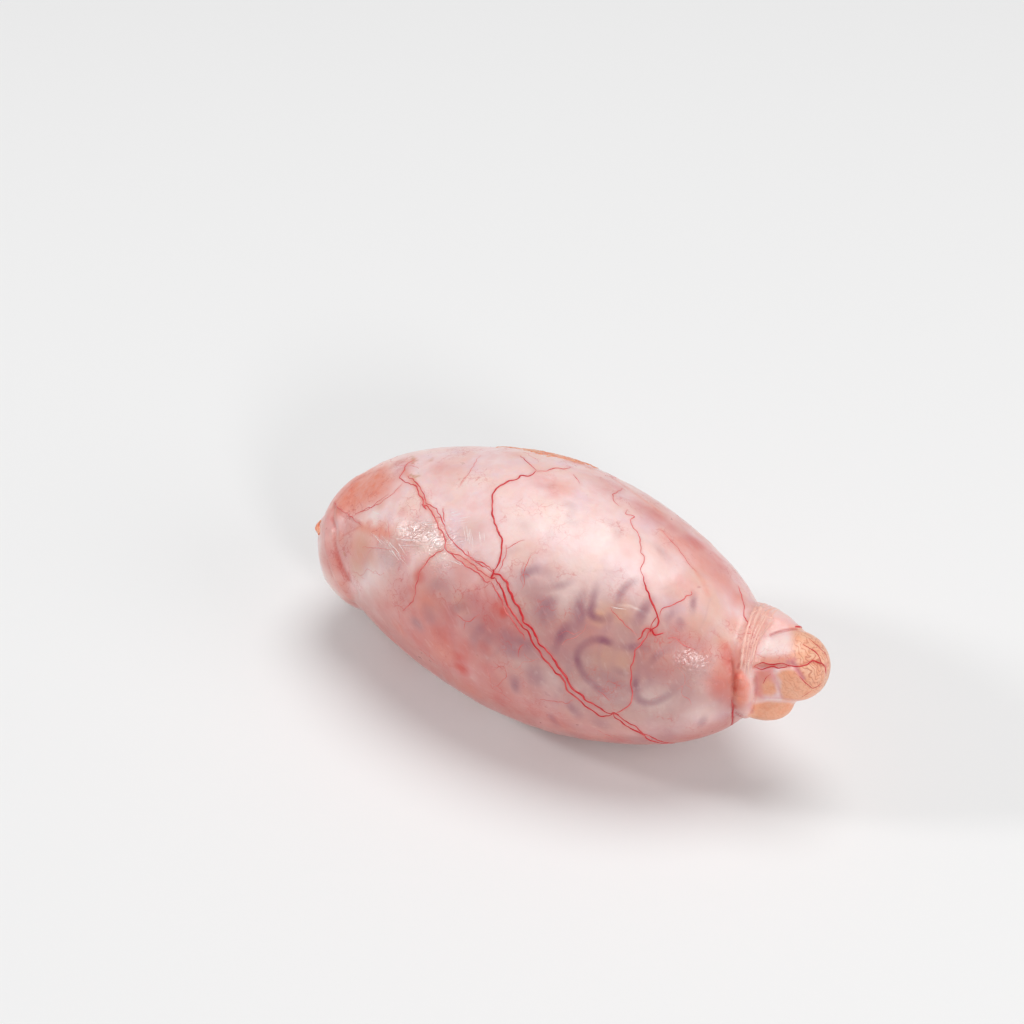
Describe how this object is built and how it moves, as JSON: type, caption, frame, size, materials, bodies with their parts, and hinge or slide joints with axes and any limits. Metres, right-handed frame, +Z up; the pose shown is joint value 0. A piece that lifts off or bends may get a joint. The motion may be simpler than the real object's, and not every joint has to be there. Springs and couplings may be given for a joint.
{
  "type": "raw calf testicle",
  "caption": "Raw calf testicle: an oval moist body with a rounded head cap and a collared, lobed tail, lying on its side.",
  "frame": {"origin": "on the surface it lies on, below the middle of its extent", "axes": "+X along the oval from the head cap towards the lobed tail, +Z up, +Y across, away from the viewer of the picture"},
  "size_m": [0.1074, 0.0504, 0.0476],
  "materials": {
    "moist_membrane": "thin translucent pink-white membrane, wet and glossy, with flushes of red and blue-violet showing through",
    "blood_vessel": "fine wavy dark red vessels just under the wet membrane",
    "tail_tissue": "tan, finely coiled tissue under a wet clear membrane",
    "surface_fat": "soft orange-pink fat, moist"
  },
  "bodies": {
    "root": {"testicle": "moist_membrane"}
  },
  "joints": []
}
